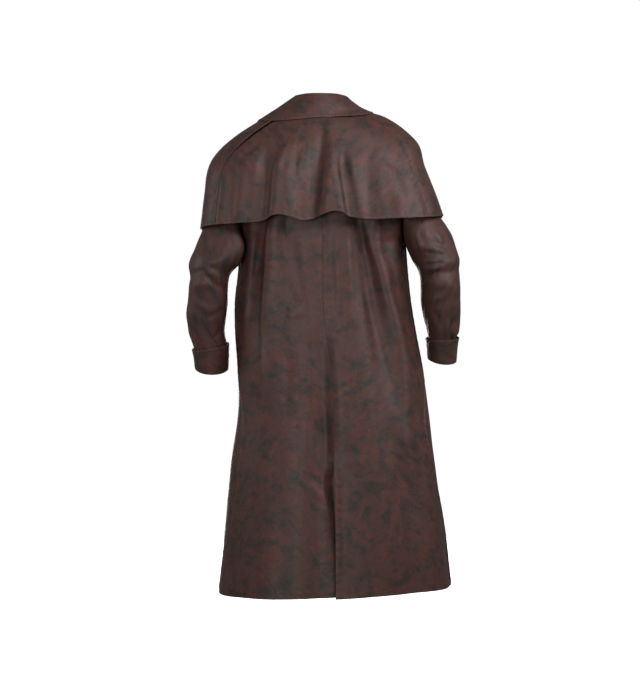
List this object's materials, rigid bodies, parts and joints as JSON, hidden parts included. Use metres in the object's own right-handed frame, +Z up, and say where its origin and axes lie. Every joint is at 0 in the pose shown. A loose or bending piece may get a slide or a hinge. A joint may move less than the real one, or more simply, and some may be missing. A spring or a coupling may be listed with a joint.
{
  "type": "cowboy duster coat",
  "caption": "Long empty cowboy duster coat of worn brown leatherette with a fluted shoulder cape, turned-down collar, turn-back cuffs and a lapped back vent, held in its worn shape.",
  "frame": {"origin": "middle of the neck opening, level with the neck seam at the centre back", "axes": "+Z up along the coat, -Y the way the wearer faces, +X the wearer's left"},
  "size_m": [0.7519, 0.4169, 1.3659],
  "materials": {
    "leatherette": "worn satin, mottled dark grey-brown and red-brown"
  },
  "bodies": {
    "root": {"back_left": "leatherette", "back_right": "leatherette", "front_left": "leatherette", "front_right": "leatherette", "sleeve_left": "leatherette", "sleeve_right": "leatherette", "cuff_left": "leatherette", "cuff_right": "leatherette", "cape_back": "leatherette", "cape_front_left": "leatherette", "cape_front_right": "leatherette", "collar": "leatherette"}
  },
  "joints": []
}
